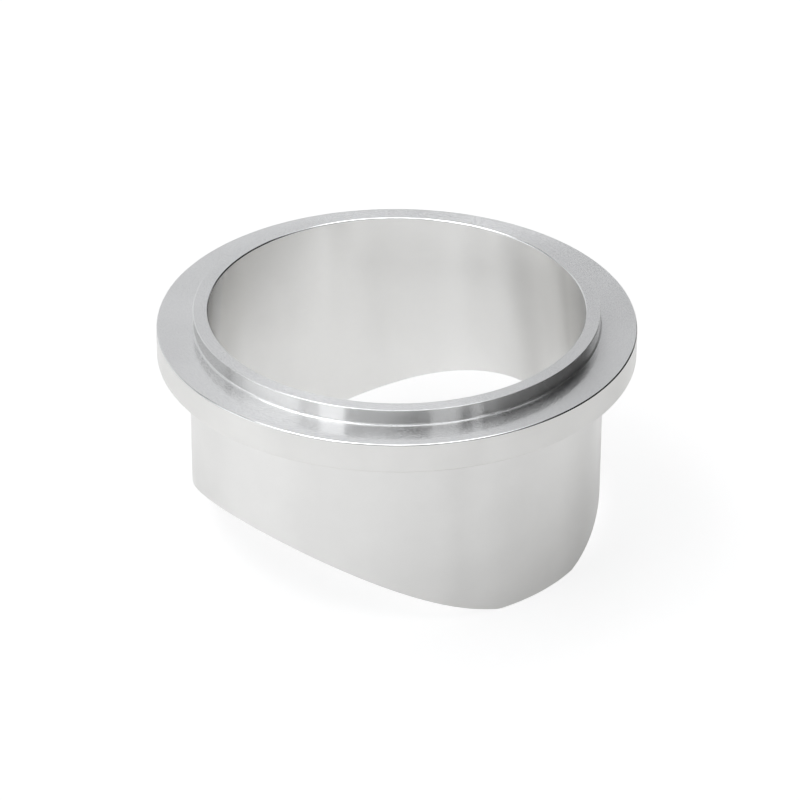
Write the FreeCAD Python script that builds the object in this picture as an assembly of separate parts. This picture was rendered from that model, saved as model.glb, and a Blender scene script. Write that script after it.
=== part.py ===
"""V-band weld flange, turned from one piece of aluminium, in millimetres.

The valve end points up. A pilot lip centres the valve, a flat face seals against it, and the
rim behind that face carries the V-band clamp. Below the rim a short tube runs down to a saddle,
which is cut to sit on a pipe and be welded there. The tips of the saddle are faced off flat.

Frame: the origin is on the bore's axis, level with the sealing face. +Z points up along the
bore, out of the valve end. The pipe that the saddle sits on runs along Y.
"""

import FreeCAD, Part
import math
import os

# Driving dimensions
BORE_DIAMETER = 55.4  # the gas passage, straight from end to end
TUBE_WALL = 2.85  # wall of the tube below the rim
TUBE_DROP = 33.05  # from the sealing face down to the flat tips of the saddle
PILOT_WALL = 2.2  # wall of the lip that centres the valve
PILOT_HEIGHT = 2.4  # of the lip above the sealing face
RIM_REACH = 4.75  # how far the rim stands out from the tube
RIM_LAND = 4.5  # height of the rim's outer cylinder
BAND_ANGLE = 20.0  # degrees between the clamp's seat behind the rim and the sealing face
PIPE_DIAMETER = 88.9  # the pipe that the saddle fits, outside
TIP_WIDTH = 15.2  # of each flat tip, measured along the pipe
EDGE_BREAK = 0.2  # chamfer on the turned edges
PILOT_BREAK = 0.1  # chamfer on the outer edge of the lip
FACE_FILLET = 0.25  # where the lip meets the sealing face
ROOT_FILLET = 1.0  # where the clamp's seat meets the tube

# Sizes worked out from the driving dimensions
BORE_RADIUS = BORE_DIAMETER / 2
TUBE_RADIUS = BORE_RADIUS + TUBE_WALL
PILOT_RADIUS = BORE_RADIUS + PILOT_WALL
RIM_RADIUS = TUBE_RADIUS + RIM_REACH
PIPE_RADIUS = PIPE_DIAMETER / 2
SEAT_DROP = RIM_LAND + RIM_REACH * math.tan(math.radians(BAND_ANGLE))

CHAMFER = "chamfer"
FILLET = "fillet"
SHARP = "sharp"


def outline_corners():
    """The turned section as corners (radius, height, blend, size), counter-clockwise."""
    return [
        (BORE_RADIUS, -TUBE_DROP, SHARP, 0),
        (TUBE_RADIUS, -TUBE_DROP, SHARP, 0),
        (TUBE_RADIUS, -SEAT_DROP, FILLET, ROOT_FILLET),
        (RIM_RADIUS, -RIM_LAND, CHAMFER, EDGE_BREAK),
        (RIM_RADIUS, 0, CHAMFER, EDGE_BREAK),
        (PILOT_RADIUS, 0, FILLET, FACE_FILLET),
        (PILOT_RADIUS, PILOT_HEIGHT, CHAMFER, PILOT_BREAK),
        (BORE_RADIUS, PILOT_HEIGHT, CHAMFER, EDGE_BREAK),
    ]


def fillet_path(before, corner, after, radius):
    """The start, crest and end of the arc that rounds a corner."""
    towards_before = (before - corner).normalize()
    towards_after = (after - corner).normalize()
    half_angle = towards_before.getAngle(towards_after) / 2
    setback = radius / math.tan(half_angle)
    inward = (towards_before + towards_after).normalize()
    crest = corner + inward * (radius / math.sin(half_angle) - radius)
    return [corner + towards_before * setback, crest, corner + towards_after * setback]


def corner_path(before, corner, after, blend, size):
    """The points that the section passes through at one corner."""
    if blend == SHARP:
        return [corner]
    if blend == FILLET:
        return fillet_path(before, corner, after, size)
    return [
        corner + (before - corner).normalize() * size,
        corner + (after - corner).normalize() * size,
    ]


def corner_edges(path):
    """The edge round one corner: none if it is sharp, a chamfer's line or a fillet's arc."""
    if len(path) == 1:
        return []
    if len(path) == 2:
        return [Part.LineSegment(*path).toShape()]
    return [Part.Arc(*path).toShape()]


def turned_section(corners):
    """The closed face in the XZ plane that the flange is revolved from."""
    points = [FreeCAD.Vector(radius, 0, height) for radius, height, _, _ in corners]
    paths = []
    for i, (_, _, blend, size) in enumerate(corners):
        after = points[(i + 1) % len(points)]
        paths.append(corner_path(points[i - 1], points[i], after, blend, size))
    edges = []
    for i, path in enumerate(paths):
        side = Part.LineSegment(paths[i - 1][-1], path[0])
        edges += [side.toShape()] + corner_edges(path)
    return Part.Face(Part.Wire(edges))


def pipe_cutter():
    """The pipe's outside, placed so that it leaves a flat of TIP_WIDTH at each tip."""
    tip_side = math.sqrt(TUBE_RADIUS**2 - (TIP_WIDTH / 2) ** 2)
    axis_height = -TUBE_DROP - math.sqrt(PIPE_RADIUS**2 - tip_side**2)
    reach = 2 * RIM_RADIUS
    start = FreeCAD.Vector(0, -reach, axis_height)
    along = FreeCAD.Vector(0, 1, 0)
    return Part.makeCylinder(PIPE_RADIUS, 2 * reach, start, along)


def weld_flange():
    """The whole flange: the turned blank with its saddle cut."""
    section = turned_section(outline_corners())
    blank = section.revolve(FreeCAD.Vector(0, 0, 0), FreeCAD.Vector(0, 0, 1), 360)
    return blank.cut(pipe_cutter())


def main():
    os.makedirs("parts", exist_ok=True)
    flange = weld_flange()
    flange.exportStep("parts/weld_flange.step")
    box = flange.BoundBox
    print(f"valid {flange.isValid()}, solids {len(flange.Solids)}, faces {len(flange.Faces)}")
    print(f"box {box.XLength:.2f} x {box.YLength:.2f} x {box.ZLength:.2f}, lowest {box.ZMin:.2f}")
    print(f"volume {flange.Volume:.0f} mm3")


main()
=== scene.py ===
"""Looks for the V-band weld flange: a bare turned aluminium ring on a white floor."""

import math

import bpy
import numpy as np
from mathutils import Matrix, Vector


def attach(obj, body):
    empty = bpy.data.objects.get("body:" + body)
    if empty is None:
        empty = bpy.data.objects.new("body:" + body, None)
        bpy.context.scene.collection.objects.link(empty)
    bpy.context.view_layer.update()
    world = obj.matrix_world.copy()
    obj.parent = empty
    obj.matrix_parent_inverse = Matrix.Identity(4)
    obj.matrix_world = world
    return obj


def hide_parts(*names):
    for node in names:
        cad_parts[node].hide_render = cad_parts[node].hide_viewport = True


MM = 0.001

# The flange's sizes in millimetres, as in the CAD model
BORE_R = 27.7
TUBE_R = 30.55
PILOT_R = 29.9
RIM_R = 35.3
PILOT_H = 2.4
RIM_LAND = 4.5
BAND_ANGLE = math.radians(20.0)
TIP_Z = -33.05
PIPE_R = 44.45
TIP_WIDTH = 15.2
EDGE_BREAK = 0.15  # the lines in the photo are a little finer than the model's 0.2
PILOT_BREAK = 0.1
FACE_FILLET = 0.25
ROOT_FILLET = 1.0
CUT_BREAK = 0.12  # the saddle's edges, eased with a file

TIP_SIDE = math.sqrt(TUBE_R**2 - (TIP_WIDTH / 2) ** 2)
PIPE_Z = TIP_Z - math.sqrt(PIPE_R**2 - TIP_SIDE**2)
SEAT_Z = -RIM_LAND - (RIM_R - TUBE_R) * math.tan(BAND_ANGLE)

# Ways that a turned surface faces: degrees from outward towards up
FACING_DOWN = -90
FACING_OUT = 0
FACING_UP = 90
FACING_IN = 180
SEAT_FACING = FACING_DOWN + math.degrees(BAND_ANGLE)
CHAMFER_CROWN = 8  # degrees that a chamfer's normals lean each way

# How finely the mesh is divided
SPOKES = 480  # around the axis
ROOT_STEPS = 6  # in the fillet at the seat's root
FOOT_STEPS = 5  # in the fillet at the lip's foot
CUT_RINGS = 5  # across the saddle's cut
POINT_DECIMALS = 5  # of a millimetre, to which two points count as one
NEARLY_ZERO = 1e-6

# The camera, fitted to the photograph
CAMERA_AZIMUTH = math.radians(46.0)
CAMERA_ELEVATION = math.radians(30.51)
CAMERA_DISTANCE = 616.66
CAMERA_SIDE = 0.52
CAMERA_HEIGHT = -13.47
CAMERA_ROLL = math.radians(0.30)
LENS_PX = 4153.5
FRAME_PX = 800
SENSOR_MM = 36.0

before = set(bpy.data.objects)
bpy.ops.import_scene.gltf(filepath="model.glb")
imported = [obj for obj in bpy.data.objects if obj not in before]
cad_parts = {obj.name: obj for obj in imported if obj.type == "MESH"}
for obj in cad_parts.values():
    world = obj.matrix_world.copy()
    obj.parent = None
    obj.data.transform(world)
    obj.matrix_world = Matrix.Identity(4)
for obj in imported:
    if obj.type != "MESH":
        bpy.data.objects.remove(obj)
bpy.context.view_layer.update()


# Section of the flange

class Strip:
    """A band between two rings of the surface, with its normals at each ring and its finish."""

    def __init__(self, finish, start, end, start_normal, end_normal):
        self.finish = finish
        self.start, self.end = start, end
        self.start_normal, self.end_normal = start_normal, end_normal


def azimuths():
    """Spoke angles from +X, with one spoke exactly at each end of both flat tips."""
    angles = np.arange(SPOKES) * (2 * math.pi / SPOKES)
    corner = math.acos(TIP_SIDE / (TUBE_R - CUT_BREAK))
    for target in (corner, math.pi - corner, math.pi + corner, 2 * math.pi - corner):
        angles[np.argmin(abs(angles - target))] = target
    return angles


AZIMUTH = azimuths()
OUTWARD = np.stack([np.cos(AZIMUTH), np.sin(AZIMUTH), np.zeros(SPOKES)], 1)
UP = np.array([0.0, 0.0, 1.0])


def ring(radius, height):
    """Points of one ring. Radius and height are numbers or one value for each spoke."""
    radius = np.broadcast_to(radius, SPOKES)[:, None]
    height = np.broadcast_to(height, SPOKES)[:, None]
    return OUTWARD * radius + UP * height


def lean(degrees):
    """Unit normals all round, from 0 for outward to 90 for up."""
    a = math.radians(degrees)
    return OUTWARD * math.cos(a) + UP * math.sin(a)


def saddle_height(radius):
    side = abs(radius * np.cos(AZIMUTH))
    return PIPE_Z + np.sqrt(PIPE_R**2 - side**2)


def cut_height(radius):
    """Height of the cut end at a radius: the saddle, or the flat tip where that is higher."""
    return np.maximum(saddle_height(radius), TIP_Z)


def saddle_normal(radius):
    """Normals of the saddle, towards the pipe's axis."""
    side = radius * np.cos(AZIMUTH)
    drop = np.sqrt(PIPE_R**2 - side**2)
    return -np.stack([side, 0 * side, drop], 1) / PIPE_R


def arc_ring(centre, radius, degrees):
    """The ring at one angle of an edge's round. The centre is a radius and a height."""
    t = math.radians(degrees)
    return ring(centre[0] + radius * math.cos(t), centre[1] + radius * math.sin(t))


def round_edge(finish, centre, radius, start, end, steps):
    """Strips of a rounded edge, or a hollow one where the radius is negative."""
    strips = []
    for i in range(steps):
        a = start + (end - start) * i / steps
        b = start + (end - start) * (i + 1) / steps
        rings = arc_ring(centre, radius, a), arc_ring(centre, radius, b)
        strips.append(Strip(finish, *rings, lean(a), lean(b)))
    return strips


def chamfer(finish, centre, radius, start, end):
    """One flat strip between the ends that a round edge would have, slightly crowned."""
    rings = arc_ring(centre, radius, start), arc_ring(centre, radius, end)
    middle = (start + end) / 2
    normals = lean(middle - CHAMFER_CROWN), lean(middle + CHAMFER_CROWN)
    return [Strip(finish, *rings, *normals)]


def turned_edges():
    """Strips of each fillet and chamfer, from the seat's root over the lip to the bore's mouth."""
    setback = math.tan((math.pi / 2 - BAND_ANGLE) / 2)
    root = (TUBE_R + ROOT_FILLET, SEAT_Z - ROOT_FILLET * setback)
    toe_round = EDGE_BREAK / setback
    toe = (RIM_R - toe_round, -RIM_LAND + EDGE_BREAK)
    brow = (RIM_R - EDGE_BREAK, -EDGE_BREAK)
    foot = (PILOT_R + FACE_FILLET, FACE_FILLET)
    lip = (PILOT_R - PILOT_BREAK, PILOT_H - PILOT_BREAK)
    mouth = (BORE_R + EDGE_BREAK, PILOT_H - EDGE_BREAK)
    return [
        round_edge("tube", root, -ROOT_FILLET, FACING_OUT, SEAT_FACING, ROOT_STEPS),
        chamfer("land", toe, toe_round, SEAT_FACING, FACING_OUT),
        chamfer("edge", brow, EDGE_BREAK, FACING_OUT, FACING_UP),
        round_edge("face", foot, -FACE_FILLET, FACING_UP, FACING_OUT, FOOT_STEPS),
        chamfer("top", lip, PILOT_BREAK, FACING_OUT, FACING_UP),
        chamfer("edge", mouth, EDGE_BREAK, FACING_UP, FACING_IN),
    ]


def turned_strips():
    """The turned outside and the bore, from the tube's lower edge over the lip and back down."""
    edges = turned_edges()
    flats = [
        ("seat", SEAT_FACING),
        ("land", FACING_OUT),
        ("face", FACING_UP),
        ("lip", FACING_OUT),
        ("top", FACING_UP),
    ]
    tube_foot = ring(TUBE_R, cut_height(TUBE_R) + CUT_BREAK)
    bore_foot = ring(BORE_R, cut_height(BORE_R) + CUT_BREAK)
    strips = [Strip("tube", tube_foot, edges[0][0].start, lean(FACING_OUT), lean(FACING_OUT))]
    strips += edges[0]
    for (finish, facing), before, after in zip(flats, edges, edges[1:]):
        strips.append(Strip(finish, before[-1].end, after[0].start, lean(facing), lean(facing)))
        strips += after
    strips.append(Strip("bore", strips[-1].end, bore_foot, lean(FACING_IN), lean(FACING_IN)))
    return strips


def cut_strips(bore_foot, tube_foot):
    """The saddle's cut, from the bore's wall to the tube's, with the flat tips."""
    inner = BORE_R + CUT_BREAK
    outer = TUBE_R - CUT_BREAK
    kink = np.minimum(TIP_SIDE / np.maximum(abs(np.cos(AZIMUTH)), NEARLY_ZERO), outer)
    down = np.broadcast_to(-UP, (SPOKES, 3))
    radii = [inner + (kink - inner) * i / CUT_RINGS for i in range(CUT_RINGS + 1)]
    rings = [ring(r, saddle_height(r)) for r in radii]
    normals = [saddle_normal(r) for r in radii]
    strips = [Strip("cut", bore_foot, rings[0], lean(FACING_IN), saddle_normal(inner))]
    for i in range(CUT_RINGS):
        strips.append(Strip("cut", rings[i], rings[i + 1], normals[i], normals[i + 1]))
    flat_end = ring(outer, cut_height(outer))
    strips.append(Strip("cut", rings[-1], flat_end, down, down))
    end_normal = np.where((kink < outer)[:, None], down, saddle_normal(outer))
    strips.append(Strip("cut", flat_end, tube_foot, end_normal, lean(FACING_OUT)))
    return strips


# The mesh

class Points:
    """The mesh's points in metres, with each place kept once."""

    def __init__(self):
        self.places = []
        self.numbers = {}

    def number(self, point):
        """The number of a point given in millimetres, which is added if it is new."""
        key = tuple(np.round(point, POINT_DECIMALS))
        if key not in self.numbers:
            self.numbers[key] = len(self.places)
            self.places.append(point * MM)
        return self.numbers[key]


def strip_faces(strip, points):
    """One face for each spoke, with the normals at its corners. A side of no length is left out."""
    starts = [points.number(p) for p in strip.start]
    ends = [points.number(p) for p in strip.end]
    faces, normals = [], []
    for i in range(SPOKES):
        j = (i + 1) % SPOKES
        corners = [
            (starts[i], strip.start_normal[i]),
            (starts[j], strip.start_normal[j]),
            (ends[j], strip.end_normal[j]),
            (ends[i], strip.end_normal[i]),
        ]
        kept = [c for k, c in enumerate(corners) if c[0] != corners[k - 1][0]]
        if len(kept) > 2:
            faces.append([c[0] for c in kept])
            normals += [tuple(c[1]) for c in kept]
    return faces, normals


def flange_mesh(name, finishes):
    """One closed mesh of all strips, with the strips' own normals."""
    strips = turned_strips()
    strips += cut_strips(strips[-1].end, strips[0].start)
    points = Points()
    faces, normals, slots = [], [], []
    for strip in strips:
        strip_made, strip_normals = strip_faces(strip, points)
        faces += strip_made
        normals += strip_normals
        slots += [finishes.index(strip.finish)] * len(strip_made)
    mesh = bpy.data.meshes.new(name)
    mesh.from_pydata(points.places, [], faces)
    mesh.polygons.foreach_set("material_index", slots)
    mesh.polygons.foreach_set("use_smooth", [True] * len(faces))
    mesh.update()
    mesh.normals_split_custom_set(normals)
    return mesh


# Nodes

# Sockets that share their name with others of their node
MIX_A = 6
MIX_B = 7
MIX_RESULT = 2
VECTOR_SCALE = 3


def node(tree, kind, **settings):
    """Adds a node, sets its properties by name and its inputs by a dict called inputs."""
    made = tree.nodes.new(kind)
    for key, value in settings.pop("inputs", {}).items():
        if isinstance(value, bpy.types.NodeSocket):
            tree.links.new(value, made.inputs[key])
        else:
            made.inputs[key].default_value = value
    for key, value in settings.items():
        setattr(made, key, value)
    return made


def maths(tree, operation, *values):
    """A Math node's output. Values are numbers or sockets."""
    return node(
        tree, "ShaderNodeMath", operation=operation, inputs=dict(enumerate(values))
    ).outputs[0]


def remap(tree, value, span, ends, shape="SMOOTHSTEP"):
    """Carries a value's span over to other ends, and holds it there beyond them."""
    return node(
        tree,
        "ShaderNodeMapRange",
        interpolation_type=shape,
        inputs={0: value, 1: span[0], 2: span[1], 3: ends[0], 4: ends[1]},
    ).outputs[0]


def switch(tree, when, otherwise, then):
    """One shader or the other, by a socket that is 0 or 1."""
    return node(
        tree, "ShaderNodeMixShader", inputs={0: when, 1: otherwise, 2: then}
    ).outputs[0]


# Materials

MARKS_PER_METRE = 120000.0  # tool marks side by side
MARK_LENGTHS_PER_METRE = 2500.0  # tool marks end to end
MARK_DETAIL = 1.0
MARK_SPAN = (0.44, 0.50)  # the noise at the crests' side and at the valleys' side
ACROSS = 0.25  # of a turn, so that reflections stretch across the tool marks
CLOUD_SCALE = 110.0
CLOUD_DETAIL = 4.0
CLOUD_SPAN = (0.35, 0.65)  # the noise in the dark and in the clear
CLOUD_DARK = 0.965  # a cloud's tone, as a share of the metal's
EVEN_ABOVE = -12.0  # mm. Below this height the brightness changes towards the cut end: painted shade on the tube, painted light in the bore

# Painted reflections, as faint upright streaks in the tone: azimuth from +X at the mating face, half
# width, change of brightness, and degrees that they turn for each mm of height
# The bore's streaks are painted reflections, lighter and darker
BORE_PAINTED_REFLECTIONS = (
    (72, 4, -0.06, 0.5),
    (81, 6, 0.04, 0.5),
    (96, 10, -0.10, 0.5),
    (-150, 9, 0.12, -0.5),
)
# A painted dark reflection band on the tube and the land
OUTER_PAINTED_DARK_STREAK = ((20, 14, -0.07, 0.0),)

# Tones of the metal
ALUMINIUM = (0.91, 0.91, 0.91)
DULLED = (0.892, 0.888, 0.878)
LAND = (0.858, 0.853, 0.84)
LIP = (0.80, 0.80, 0.795)
# The bore's own tone, raised further as painted light
PAINTED_BRIGHT_BORE = (0.97, 0.966, 0.955)
OPAQUE = 1.0

# Roughness on the crests and in the valleys of the tool marks
MATT = (0.34, 0.38)
STREAKY = (0.09, 0.40)
POLISHED = (0.12, 0.15)
SATIN = (0.28, 0.32)
GLINTING = (0.13, 0.15)
FILED = (0.36, 0.44)

# How far the tool marks stretch a reflection, from 0 to 1
TURNED = 0.9
BORED = 1.0
EASED = 0.3

# Brightness at the cut end, as a share of what it is higher up: painted shade on the tube, painted
# light in the bore
# The tube grows darker towards its cut end by painted shade
TUBE_PAINTED_SHADE_AT_CUT = 0.88
# The bore grows brighter towards its cut end by painted light
BORE_PAINTED_LIGHT_AT_CUT = 1.03
UNCHANGED = 1.0


def tool_marks(tree, xyz):
    """Noise in fine, short marks that run round the axis."""
    squares = [maths(tree, "MULTIPLY", xyz[i], xyz[i]) for i in (0, 1)]
    radius = maths(tree, "SQRT", maths(tree, "ADD", *squares))
    along = maths(tree, "SUBTRACT", radius, xyz[2])
    lay = [maths(tree, "MULTIPLY", xyz[i], MARK_LENGTHS_PER_METRE) for i in (0, 1)]
    lay.append(maths(tree, "MULTIPLY", along, MARKS_PER_METRE))
    place = node(tree, "ShaderNodeCombineXYZ", inputs=dict(enumerate(lay))).outputs[0]
    return node(
        tree, "ShaderNodeTexNoise", inputs={"Vector": place, "Scale": 1.0, "Detail": MARK_DETAIL}
    ).outputs[0]


def clouded(tree, place, tone):
    """The metal's tone, slightly darker in soft clouds."""
    noise = node(
        tree,
        "ShaderNodeTexNoise",
        inputs={"Vector": place, "Scale": CLOUD_SCALE, "Detail": CLOUD_DETAIL},
    ).outputs[0]
    clear = remap(tree, noise, CLOUD_SPAN, (0.0, 1.0), "LINEAR")
    dark = [c * CLOUD_DARK for c in tone]
    return node(
        tree,
        "ShaderNodeMix",
        data_type="RGBA",
        inputs={0: clear, MIX_A: (*dark, OPAQUE), MIX_B: (*tone, OPAQUE)},
    ).outputs[MIX_RESULT]


def brightness(tree, xyz, painted_level_at_cut, painted_streaks):
    """How bright the metal is, by place: it changes towards the cut end, by painted shade on the
    tube and painted light in the bore, and in faint streaks of painted reflection.
    """
    # Painted shade on the tube and painted light in the bore, towards the cut end
    level = remap(tree, xyz[2], (EVEN_ABOVE * MM, TIP_Z * MM), (UNCHANGED, painted_level_at_cut), "LINEAR")
    azimuth = maths(tree, "DEGREES", maths(tree, "ARCTAN2", xyz[1], xyz[0]))
    # Painted reflections: upright streaks of lighter and darker tone
    for middle, half_width, change, tilt in painted_streaks:
        upright = maths(tree, "SUBTRACT", azimuth, maths(tree, "MULTIPLY", xyz[2], tilt / MM))
        off = maths(tree, "ABSOLUTE", maths(tree, "SUBTRACT", upright, middle))
        painted_streak = remap(tree, off, (0.0, half_width), (change, 0.0))
        level = maths(tree, "ADD", level, painted_streak)
    return level


def turned_metal(name, tone, roughness, anisotropy, painted_level_at_cut=UNCHANGED, painted_streaks=()):
    """Bare aluminium with fine tool marks round the axis: polished crests and duller valleys. Its
    tone can carry painted shade, painted light and painted reflections, given by place.
    """
    material = bpy.data.materials.new(name)
    material.use_nodes = True
    tree = material.node_tree
    shader = tree.nodes["Principled BSDF"]
    shader.inputs["Metallic"].default_value = 1.0
    shader.inputs["Anisotropic"].default_value = anisotropy
    shader.inputs["Anisotropic Rotation"].default_value = ACROSS
    tangent = node(tree, "ShaderNodeTangent", direction_type="RADIAL", axis="Z")
    tree.links.new(tangent.outputs[0], shader.inputs["Tangent"])

    place = node(tree, "ShaderNodeTexCoord").outputs["Object"]
    xyz = node(tree, "ShaderNodeSeparateXYZ", inputs={0: place}).outputs
    rough = remap(tree, tool_marks(tree, xyz), MARK_SPAN, roughness)
    tree.links.new(rough, shader.inputs["Roughness"])
    tint = clouded(tree, place, tone)
    # The tone, scaled by the painted light and shade
    level = brightness(tree, xyz, painted_level_at_cut, painted_streaks)
    metal = node(
        tree, "ShaderNodeVectorMath", operation="SCALE", inputs={0: tint, VECTOR_SCALE: level}
    ).outputs[0]
    tree.links.new(metal, shader.inputs["Base Color"])
    return material


FINISHES = {
    # The tube is darkened by painted shade towards its cut end and in a painted dark streak
    "tube": turned_metal("tube_metal", DULLED, MATT, TURNED, TUBE_PAINTED_SHADE_AT_CUT, OUTER_PAINTED_DARK_STREAK),
    "seat": turned_metal("seat_metal", DULLED, MATT, TURNED),
    # The land carries the same painted dark streak
    "land": turned_metal("land_metal", LAND, MATT, TURNED, UNCHANGED, OUTER_PAINTED_DARK_STREAK),
    "face": turned_metal("face_metal", ALUMINIUM, STREAKY, TURNED),
    "lip": turned_metal("lip_metal", LIP, POLISHED, TURNED),
    "top": turned_metal("top_metal", ALUMINIUM, STREAKY, TURNED),
    # The bore is brightened by painted light towards its cut end and streaked by painted reflections
    "bore": turned_metal("bore_metal", PAINTED_BRIGHT_BORE, SATIN, BORED, BORE_PAINTED_LIGHT_AT_CUT, BORE_PAINTED_REFLECTIONS),
    "edge": turned_metal("edge_metal", ALUMINIUM, GLINTING, EASED),
    "cut": turned_metal("cut_metal", ALUMINIUM, FILED, EASED),
}


# The studio

class Panel:
    """A soft light, as seen from the flange. Its sides are in degrees from the camera's side towards
    its right, and its heights in degrees above the floor. Its fades, at the sides and at the top and
    bottom, are in degrees too."""

    def __init__(self, sides, heights, brightness, fades):
        self.left, self.right = sides
        self.low, self.high = heights
        self.light = [brightness] * 3
        self.side_fade, self.rim_fade = fades


PANELS = {
    "overhead": Panel((-180, 180), (69, 90), 0.6, (0, 8)),
    "overhead, left": Panel((-185, -27), (65, 73), 1.8, (19, 8)),
    "key, high at the left": Panel((-134, -33), (52, 67), 3.45, (15, 2)),
    "fill above the camera": Panel((-34.5, 82), (58.5, 72), 2.5, (2, 13)),
    "high right": Panel((40, 107), (52, 57.5), 0.9, (2, 2)),
    "upper right": Panel((48, 182), (50, 56), 0.7, (11, 3)),
    "upper left": Panel((-106.5, -29), (28, 44.5), 0.65, (2, 2)),
    "left wall": Panel((-178, -96), (0, 28), 0.72, (8, 15)),
    "left wall's top": Panel((-172.5, -114), (31.5, 51.5), 0.81, (2, 8)),
    "left box": Panel((-96, -57), (0, 45), 0.47, (2, 2)),
    "front left box": Panel((-44, -29), (26, 36), 1.2, (2, 2)),
    "low strip in front": Panel((-97, 26), (0, 7.5), 1.7, (3, 2)),
    "room behind the camera": Panel((-26.5, 2), (0, 45), 0.26, (19, 3)),
    "card at the right": Panel((20, 37), (31, 44), 1.13, (2, 2.5)),
    "card's far edge": Panel((42.5, 47.5), (0, 29.5), 1.2, (5, 9)),
    "right wall": Panel((53, 57), (0, 28.5), 0.5, (4, 6)),
    "backdrop": Panel((138, 190), (6, 32.5), 0.33, (3, 2)),
    "backdrop's top": Panel((158.5, 186), (32, 72.5), 1.0, (25, 16)),
}
ROOM_LIGHT = [0.01] * 3
STUDIO_COLOUR = (0.985, 0.995, 1.01)
WHITE = (1.0, 1.0, 1.0, 1.0)
FLOOR_COLOUR = (0.80, 0.797, 0.79, 1.0)
FLOOR_HALF = 3.0  # metres from the axis to each side
MIRRORED_GLOW = 0.3
MIRRORED_GLOW_COLOUR = (1.0, 0.997, 0.985, 1.0)
SEEN_GLOW = 0.78
SEEN_COLOUR = (0.32, 0.32, 0.32, 1.0)

# Degrees of the sky
FULL_TURN = 360
HALF_TURN = 180
HORIZON = 0
ZENITH = 90

RISING = (0.0, 1.0)
FALLING = (1.0, 0.0)


def soft_step(tree, value, middle, fade, ends):
    """A soft step, rising or falling, as the value passes the middle."""
    return remap(tree, value, (middle - fade / 2, middle + fade / 2), ends)


def panel_mask(tree, panel, azimuth, elevation):
    """1 on the panel and 0 off it. The angles are sockets in degrees."""
    masks = []
    if panel.right - panel.left < FULL_TURN:
        middle = (panel.left + panel.right) / 2
        half = (panel.right - panel.left) / 2
        off = maths(tree, "WRAP", maths(tree, "SUBTRACT", azimuth, middle), HALF_TURN, -HALF_TURN)
        off = maths(tree, "ABSOLUTE", off)
        masks.append(soft_step(tree, off, half, panel.side_fade, FALLING))
    if panel.low > HORIZON:
        masks.append(soft_step(tree, elevation, panel.low, panel.rim_fade, RISING))
    if panel.high < ZENITH:
        masks.append(soft_step(tree, elevation, panel.high, panel.rim_fade, FALLING))
    mask = masks[0]
    for other in masks[1:]:
        mask = maths(tree, "MULTIPLY", mask, other)
    return mask


def sky_angles(tree):
    """Azimuth from the camera's side and elevation of the sky, as sockets in degrees."""
    way = node(tree, "ShaderNodeTexCoord").outputs["Generated"]
    turned = node(
        tree,
        "ShaderNodeVectorRotate",
        rotation_type="Z_AXIS",
        inputs={"Vector": way, "Angle": -CAMERA_AZIMUTH},
    ).outputs[0]
    xyz = node(tree, "ShaderNodeSeparateXYZ", inputs={0: turned}).outputs
    azimuth = maths(tree, "ARCTAN2", xyz[0], maths(tree, "MULTIPLY", xyz[1], -1.0))
    elevation = maths(tree, "ARCSINE", xyz[2])
    return maths(tree, "DEGREES", azimuth), maths(tree, "DEGREES", elevation)


def studio_world():
    """The panels in a dark room, turned to the camera, behind a plain white background."""
    world = bpy.data.worlds.new("studio")
    bpy.context.scene.world = world
    world.use_nodes = True
    tree = world.node_tree
    tree.nodes.clear()
    azimuth, elevation = sky_angles(tree)
    light = ROOM_LIGHT
    for panel in PANELS.values():
        mask = panel_mask(tree, panel, azimuth, elevation)
        light = node(
            tree,
            "ShaderNodeVectorMath",
            operation="MULTIPLY_ADD",
            inputs={0: mask, 1: panel.light, 2: light},
        ).outputs[0]
    cooled = node(
        tree, "ShaderNodeVectorMath", operation="MULTIPLY", inputs={0: light, 1: STUDIO_COLOUR}
    ).outputs[0]
    studio = node(tree, "ShaderNodeBackground", inputs={"Color": cooled}).outputs[0]
    white = node(tree, "ShaderNodeBackground", inputs={"Color": WHITE}).outputs[0]
    seen = node(tree, "ShaderNodeLightPath").outputs["Is Camera Ray"]
    node(tree, "ShaderNodeOutputWorld", inputs={0: switch(tree, seen, studio, white)})


def glowing_matt(tree, colour, glow, glow_colour):
    """A matt surface with an even glow added."""
    matt = node(tree, "ShaderNodeBsdfDiffuse", inputs={"Color": colour}).outputs[0]
    even = node(
        tree, "ShaderNodeEmission", inputs={"Strength": glow, "Color": glow_colour}
    ).outputs[0]
    return node(tree, "ShaderNodeAddShader", inputs={0: matt, 1: even}).outputs[0]


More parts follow.
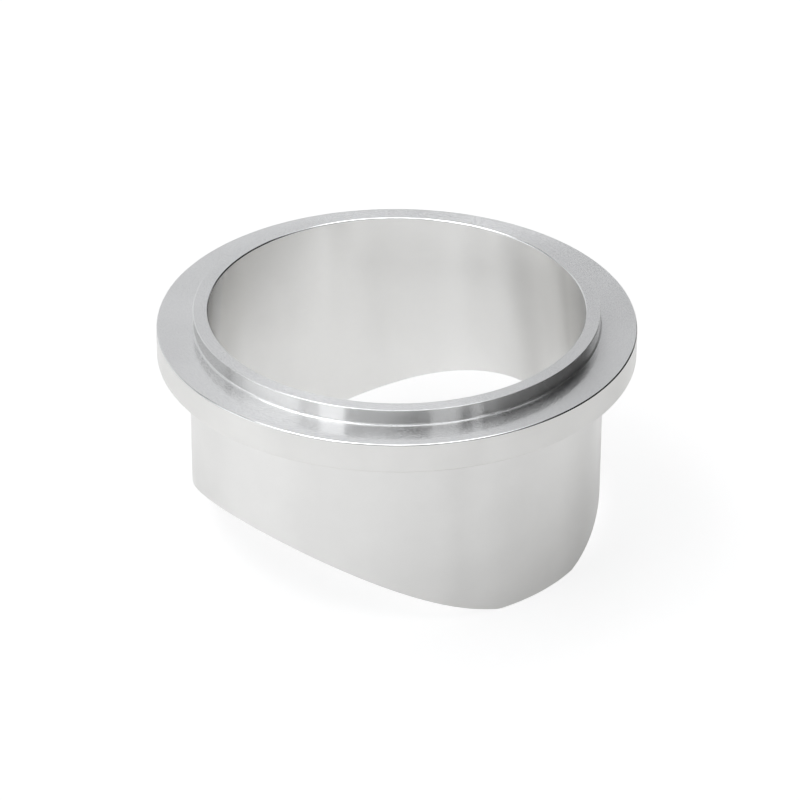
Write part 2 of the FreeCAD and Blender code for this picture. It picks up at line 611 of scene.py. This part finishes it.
def white_floor():
    """A pale floor. The camera sees it white with a faint shadow, and the metal mirrors it pale."""
    material = bpy.data.materials.new("white_floor")
    material.use_nodes = True
    tree = material.node_tree
    tree.nodes.clear()
    path = node(tree, "ShaderNodeLightPath").outputs
    plain = node(tree, "ShaderNodeBsdfDiffuse", inputs={"Color": FLOOR_COLOUR}).outputs[0]
    mirrored = glowing_matt(tree, FLOOR_COLOUR, MIRRORED_GLOW, MIRRORED_GLOW_COLOUR)
    seen = glowing_matt(tree, SEEN_COLOUR, SEEN_GLOW, WHITE)
    glossy = maths(tree, "MAXIMUM", path["Is Glossy Ray"], path["Is Transmission Ray"])
    floor = switch(tree, glossy, plain, mirrored)
    floor = switch(tree, path["Is Camera Ray"], floor, seen)
    node(tree, "ShaderNodeOutputMaterial", inputs={0: floor})
    return material


def add_floor():
    z = TIP_Z * MM
    half = FLOOR_HALF
    corners = [(-half, -half, z), (half, -half, z), (half, half, z), (-half, half, z)]
    mesh = bpy.data.meshes.new("floor")
    mesh.from_pydata(corners, [], [(0, 1, 2, 3)])
    floor = bpy.data.objects.new("floor", mesh)
    bpy.context.scene.collection.objects.link(floor)
    mesh.materials.append(white_floor())


def add_camera():
    """The photograph's camera, as fitted, turned to the CAD frame."""
    turn = Matrix.Rotation(CAMERA_AZIMUTH, 3, "Z")
    e = CAMERA_ELEVATION
    back = turn @ Vector((0, -math.cos(e), math.sin(e)))
    side = turn @ Vector((1, 0, 0))
    up = back.cross(side)
    c, s = math.cos(CAMERA_ROLL), math.sin(CAMERA_ROLL)
    x_axis = side * c + up * s
    y_axis = up * c - side * s
    aim = side * CAMERA_SIDE + Vector((0, 0, CAMERA_HEIGHT))
    place = (aim + back * CAMERA_DISTANCE) * MM
    data = bpy.data.cameras.new("camera")
    data.sensor_width = SENSOR_MM
    data.sensor_fit = "HORIZONTAL"
    data.lens = LENS_PX / FRAME_PX * SENSOR_MM
    camera = bpy.data.objects.new("camera", data)
    camera.matrix_world = Matrix((x_axis, y_axis, back)).transposed().to_4x4()
    camera.matrix_world.translation = place
    bpy.context.scene.collection.objects.link(camera)
    bpy.context.scene.camera = camera


def add_flange():
    """The flange, with one material for each finish."""
    mesh = flange_mesh("flange_metal", list(FINISHES))
    for material in FINISHES.values():
        mesh.materials.append(material)
    flange = bpy.data.objects.new("flange_metal", mesh)
    bpy.context.scene.collection.objects.link(flange)
    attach(flange, "root")
    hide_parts("weld_flange")


add_flange()
add_floor()
add_camera()
studio_world()
bpy.context.scene.view_settings.view_transform = "Standard"
